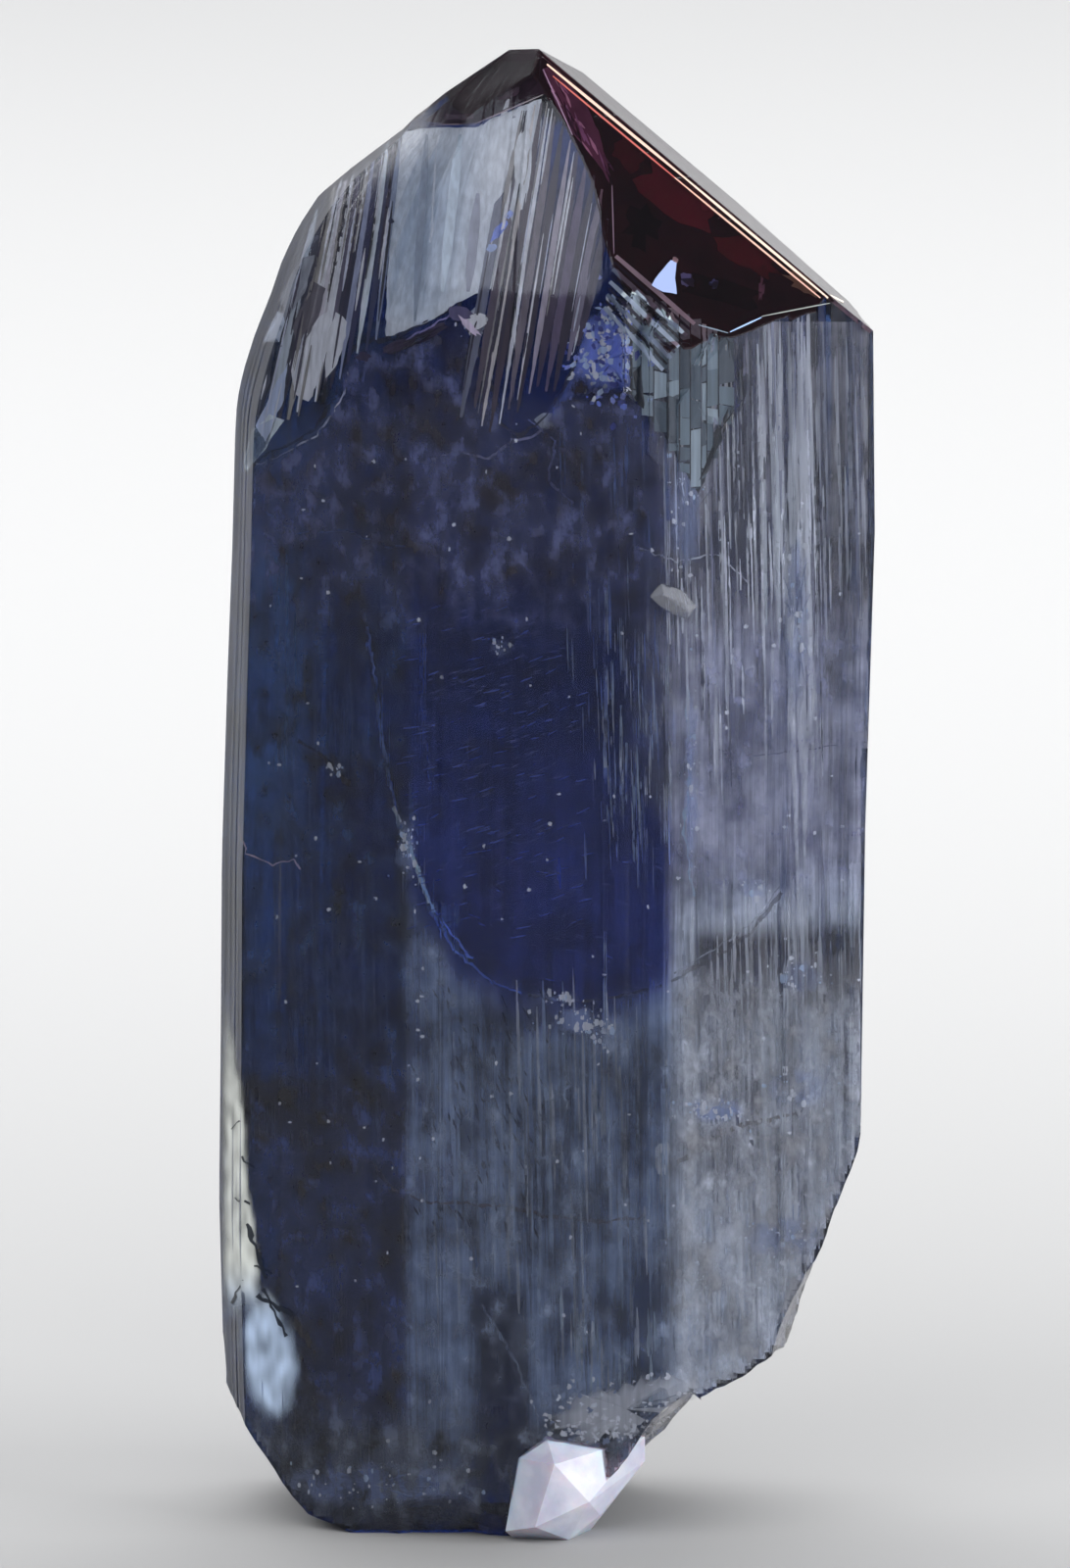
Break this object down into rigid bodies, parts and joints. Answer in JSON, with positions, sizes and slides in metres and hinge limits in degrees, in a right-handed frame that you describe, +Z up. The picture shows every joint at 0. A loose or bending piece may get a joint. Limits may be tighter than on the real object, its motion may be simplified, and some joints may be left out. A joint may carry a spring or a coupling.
{
  "type": "tanzanite crystal",
  "caption": "Upright dark blue tanzanite prism with lengthwise ribs, a slanting wedge top, a rounded left shoulder, a broken foot with a small flat, and a pale crystal grown into the foot.",
  "frame": {"origin": "on the surface that the foot rests on, under the middle of the bounding box", "axes": "+Z up along the prism, +Y towards the rear through the crystal's thinner depth, -Y the front that faces the viewer, +X to the viewer's right"},
  "size_m": [0.0176, 0.0126, 0.0403],
  "materials": {
    "tanzanite": "clear dark blue crystal, glossy faces with fine lengthwise striae"
  },
  "bodies": {
    "root": {"tanzanite_crystal": "tanzanite"}
  },
  "joints": []
}
